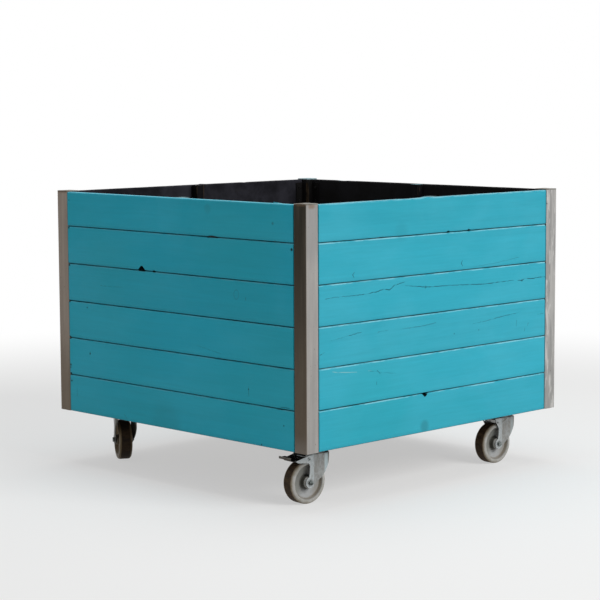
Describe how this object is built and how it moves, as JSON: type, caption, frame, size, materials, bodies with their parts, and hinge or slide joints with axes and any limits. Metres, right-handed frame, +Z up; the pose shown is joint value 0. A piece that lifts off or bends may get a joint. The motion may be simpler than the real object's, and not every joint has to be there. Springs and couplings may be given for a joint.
{
  "type": "rolling planter",
  "caption": "Square planter box of painted boards between steel corner posts, on swivel casters with brakes on a diagonal pair.",
  "frame": {"origin": "on the floor, under the centre of the square box", "axes": "+Z up; +X to the planter's right side and +Y to its back, both along the walls, with the front at -Y"},
  "size_m": [1.1, 1.1, 0.856],
  "materials": {
    "painted_board": "semi-gloss turquoise paint on planed softwood, black on the inner face",
    "raw_steel": "brushed along its length, with rust stains",
    "black_wood": "black paint",
    "frame_steel": "dark grey paint",
    "plywood": "weathered and stained by soil",
    "screw_steel": "zinc plated",
    "zinc_steel": "dull zinc plate on pressed steel",
    "axle_steel": "zinc plated",
    "nylon": "off-white moulding with a dirty tread",
    "bearing_steel": "oiled steel",
    "pedal_plastic": "black, worn at the edge"
  },
  "bodies": {
    "box": {"front_board_1": "painted_board", "front_board_2": "painted_board", "front_board_3": "painted_board", "front_board_4": "painted_board", "front_board_5": "painted_board", "front_board_6": "painted_board", "right_board_1": "painted_board", "right_board_2": "painted_board", "right_board_3": "painted_board", "right_board_4": "painted_board", "right_board_5": "painted_board", "right_board_6": "painted_board", "back_board_1": "painted_board", "back_board_2": "painted_board", "back_board_3": "painted_board", "back_board_4": "painted_board", "back_board_5": "painted_board", "back_board_6": "painted_board", "left_board_1": "painted_board", "left_board_2": "painted_board", "left_board_3": "painted_board", "left_board_4": "painted_board", "left_board_5": "painted_board", "left_board_6": "painted_board", "post_front_right": "raw_steel", "post_back_right": "raw_steel", "post_back_left": "raw_steel", "post_front_left": "raw_steel", "batten_front": "black_wood", "batten_right": "black_wood", "batten_back": "black_wood", "batten_left": "black_wood", "base_frame": "frame_steel", "floor_panel": "plywood", "board_screws": "screw_steel", "caster_bolts": "screw_steel", "plate_front_right": "zinc_steel", "plate_back_right": "zinc_steel", "plate_back_left": "zinc_steel", "plate_front_left": "zinc_steel"},
    "caster_front_right": {"fork_front_right": "zinc_steel", "axle_front_right": "axle_steel"},
    "roller_front_right": {"wheel_front_right": "nylon", "bearing_front_right": "bearing_steel"},
    "brake_front_right": {"brake_lever_front_right": "zinc_steel", "brake_pedal_front_right": "pedal_plastic"},
    "caster_back_right": {"fork_back_right": "zinc_steel", "axle_back_right": "axle_steel"},
    "roller_back_right": {"wheel_back_right": "nylon", "bearing_back_right": "bearing_steel"},
    "caster_back_left": {"fork_back_left": "zinc_steel", "axle_back_left": "axle_steel"},
    "roller_back_left": {"wheel_back_left": "nylon", "bearing_back_left": "bearing_steel"},
    "brake_back_left": {"brake_lever_back_left": "zinc_steel", "brake_pedal_back_left": "pedal_plastic"},
    "caster_front_left": {"fork_front_left": "zinc_steel", "axle_front_left": "axle_steel"},
    "roller_front_left": {"wheel_front_left": "nylon", "bearing_front_left": "bearing_steel"}
  },
  "joints": [
    {"name": "swivel_front_right", "type": "hinge", "parent": "box", "child": "caster_front_right", "pos_m": [0.437, -0.405, 0.15], "axis": [0, 0, 1], "continuous": true},
    {"name": "roll_front_right", "type": "hinge", "parent": "caster_front_right", "child": "roller_front_right", "pos_m": [0.43351, -0.44485, 0.0625], "axis": [0.9962, -0.0872, 0], "continuous": true},
    {"name": "brake_front_right", "type": "hinge", "parent": "caster_front_right", "child": "brake_front_right", "pos_m": [0.43295, -0.45132, 0.1305], "axis": [0.9962, -0.0872, 0], "range_deg": [0, 8]},
    {"name": "swivel_back_right", "type": "hinge", "parent": "box", "child": "caster_back_right", "pos_m": [0.437, 0.423, 0.15], "axis": [0, 0, 1], "continuous": true},
    {"name": "roll_back_right", "type": "hinge", "parent": "caster_back_right", "child": "roller_back_right", "pos_m": [0.4356, 0.38302, 0.0625], "axis": [0.9994, -0.0349, 0], "continuous": true},
    {"name": "swivel_back_left", "type": "hinge", "parent": "box", "child": "caster_back_left", "pos_m": [-0.41, 0.423, 0.15], "axis": [0, 0, 1], "continuous": true},
    {"name": "roll_back_left", "type": "hinge", "parent": "caster_back_left", "child": "roller_back_left", "pos_m": [-0.38706, 0.39023, 0.0625], "axis": [0.8192, 0.5736, 0], "continuous": true},
    {"name": "brake_back_left", "type": "hinge", "parent": "caster_back_left", "child": "brake_back_left", "pos_m": [-0.38333, 0.38491, 0.1305], "axis": [0.8192, 0.5736, 0], "range_deg": [0, 8]},
    {"name": "swivel_front_left", "type": "hinge", "parent": "box", "child": "caster_front_left", "pos_m": [-0.41, -0.405, 0.15], "axis": [0, 0, 1], "continuous": true},
    {"name": "roll_front_left", "type": "hinge", "parent": "caster_front_left", "child": "roller_front_left", "pos_m": [-0.44464, -0.385, 0.0625], "axis": [-0.5, -0.866, 0], "continuous": true}
  ]
}
